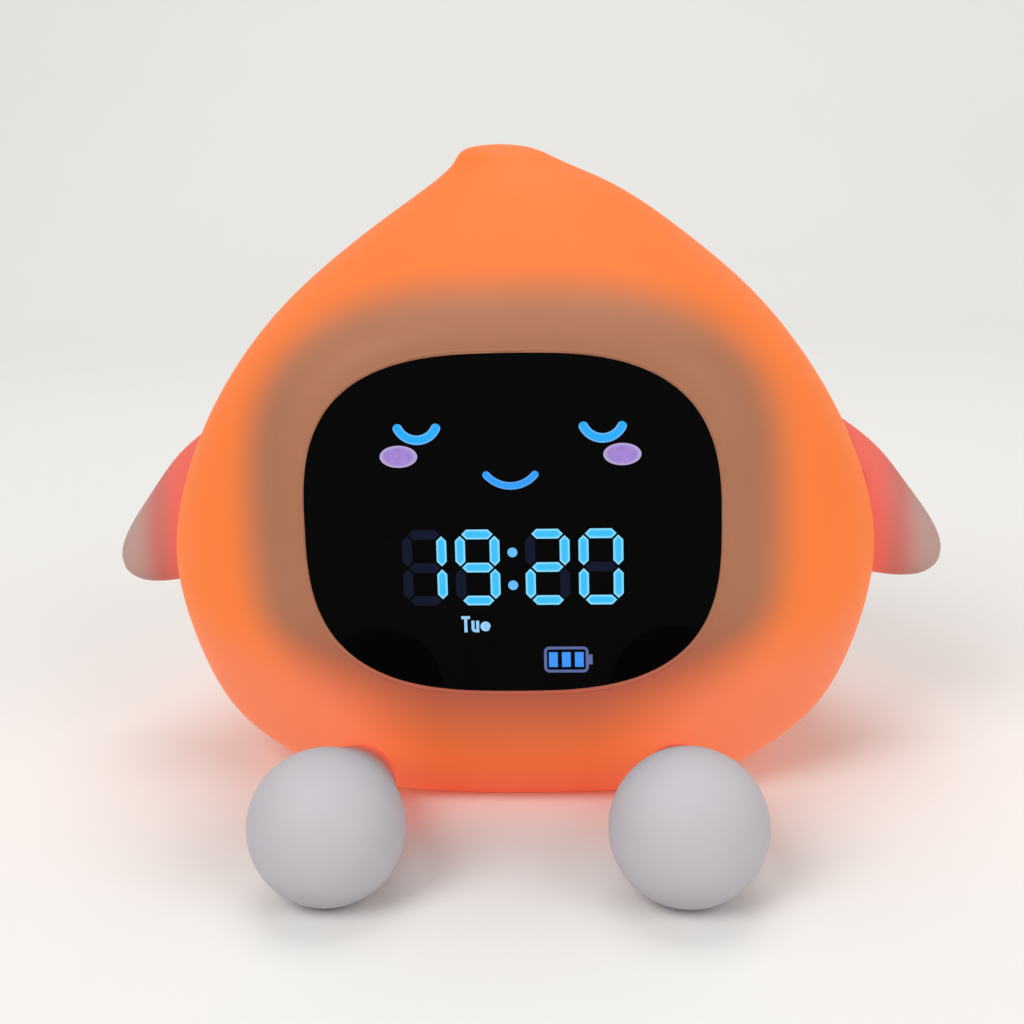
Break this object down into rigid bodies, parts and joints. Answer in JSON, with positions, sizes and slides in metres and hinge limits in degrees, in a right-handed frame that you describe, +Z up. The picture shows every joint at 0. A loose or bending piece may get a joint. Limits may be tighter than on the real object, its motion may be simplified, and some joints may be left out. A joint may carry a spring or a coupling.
{
  "type": "kids alarm clock with night light",
  "caption": "Drop shaped silicone night light with arms, legs and round feet, a gloss display with time and sleeping face, and rear buttons and switch.",
  "frame": {"origin": "centre of the flat base, on the surface that the clock stands on", "axes": "+Z up, the face looks along -Y, +X is to the right of a person who looks at the face"},
  "size_m": [0.1434, 0.116, 0.1025],
  "materials": {
    "orange_silicone": "satin translucent silicone, glows orange from inside",
    "white_silicone": "matte white silicone",
    "black_lens": "black gloss",
    "lit_white": "lit pale blue white",
    "lit_blue": "lit blue",
    "cheek_glow": "lit lilac",
    "battery_outline_dim": "dimly lit blue",
    "segment_dark": "unlit dark blue",
    "black_plastic": "moulded black",
    "milky_plastic": "milky diffuser",
    "white_plastic": "fine matte white",
    "steel": "zinc plated",
    "board_green": "green solder mask",
    "board_white": "white solder mask",
    "lamp_resin": "clear yellow resin",
    "pad_rubber": "matte grey rubber",
    "speaker_foam": "soft foam",
    "cone_paper": "coated paper",
    "cell_wrap": "shrink wrap",
    "lead_red": "insulated lead",
    "ribbon_film": "amber film"
  },
  "bodies": {
    "housing": {"arm_left": "white_silicone", "arm_right": "white_silicone", "base_pad": "pad_rubber", "base_plate": "white_plastic", "base_screws": "steel", "battery_bar_guides": "lit_blue", "battery_outline_guide": "battery_outline_dim", "board_screws": "steel", "cell": "cell_wrap", "cell_leads": "lead_red", "cell_strap": "black_plastic", "charging_socket_shell": "steel", "charging_socket_tongue": "black_plastic", "chassis": "black_plastic", "cheek_guides": "cheek_glow", "colon_dots": "lit_white", "control_board": "board_green", "digit_hours_tens": "lit_white", "digit_hours_units": "lit_white", "digit_minutes_tens": "lit_white", "digit_minutes_units": "lit_white", "display_board": "board_green", "display_board_screws": "steel", "display_driver_chip": "black_plastic", "display_frame_screws": "steel", "display_lamps": "lamp_resin", "display_lens": "black_lens", "display_ribbon": "ribbon_film", "eye_guides": "lit_blue", "front_shell": "milky_plastic", "leg_left": "white_silicone", "leg_right": "white_silicone", "light_well_frame": "black_plastic", "main_chip": "black_plastic", "mouth_guide": "lit_blue", "night_light_board": "board_white", "night_light_lamps": "lamp_resin", "night_light_screws": "steel", "panel_screws": "steel", "power_switch_can": "steel", "rear_panel": "white_plastic", "rear_shell": "milky_plastic", "ribbon_sockets": "white_plastic", "shell_screws": "steel", "silicone_cover": "orange_silicone", "sounder_amplifier_chip": "black_plastic", "speaker_basket": "black_plastic", "speaker_cone": "cone_paper", "speaker_gasket": "speaker_foam", "speaker_magnet": "steel", "tact_switches": "black_plastic", "unlit_segments": "segment_dark", "weekday_guides": "lit_blue"},
    "button_mode": {"button_mode": "white_plastic"},
    "button_alarm": {"button_alarm": "white_plastic"},
    "button_light": {"button_light": "white_plastic"},
    "button_up": {"button_up": "white_plastic"},
    "button_down": {"button_down": "white_plastic"},
    "power_switch": {"power_switch_knob": "white_plastic"}
  },
  "joints": [
    {"name": "mode_button_press", "type": "slide", "parent": "housing", "child": "button_mode", "axis": [0, -1, 0], "range_m": [0, 0.0008], "stiffness_N_per_m": 600, "springref_m": -0.0004},
    {"name": "alarm_button_press", "type": "slide", "parent": "housing", "child": "button_alarm", "axis": [0, -1, 0], "range_m": [0, 0.0008], "stiffness_N_per_m": 600, "springref_m": -0.0004},
    {"name": "light_button_press", "type": "slide", "parent": "housing", "child": "button_light", "axis": [0, -1, 0], "range_m": [0, 0.0008], "stiffness_N_per_m": 600, "springref_m": -0.0004},
    {"name": "up_button_press", "type": "slide", "parent": "housing", "child": "button_up", "axis": [0, -1, 0], "range_m": [0, 0.0008], "stiffness_N_per_m": 600, "springref_m": -0.0004},
    {"name": "down_button_press", "type": "slide", "parent": "housing", "child": "button_down", "axis": [0, -1, 0], "range_m": [0, 0.0008], "stiffness_N_per_m": 600, "springref_m": -0.0004},
    {"name": "power_switch_slide", "type": "slide", "parent": "housing", "child": "power_switch", "axis": [1, 0, 0], "range_m": [0, 0.0026]}
  ]
}
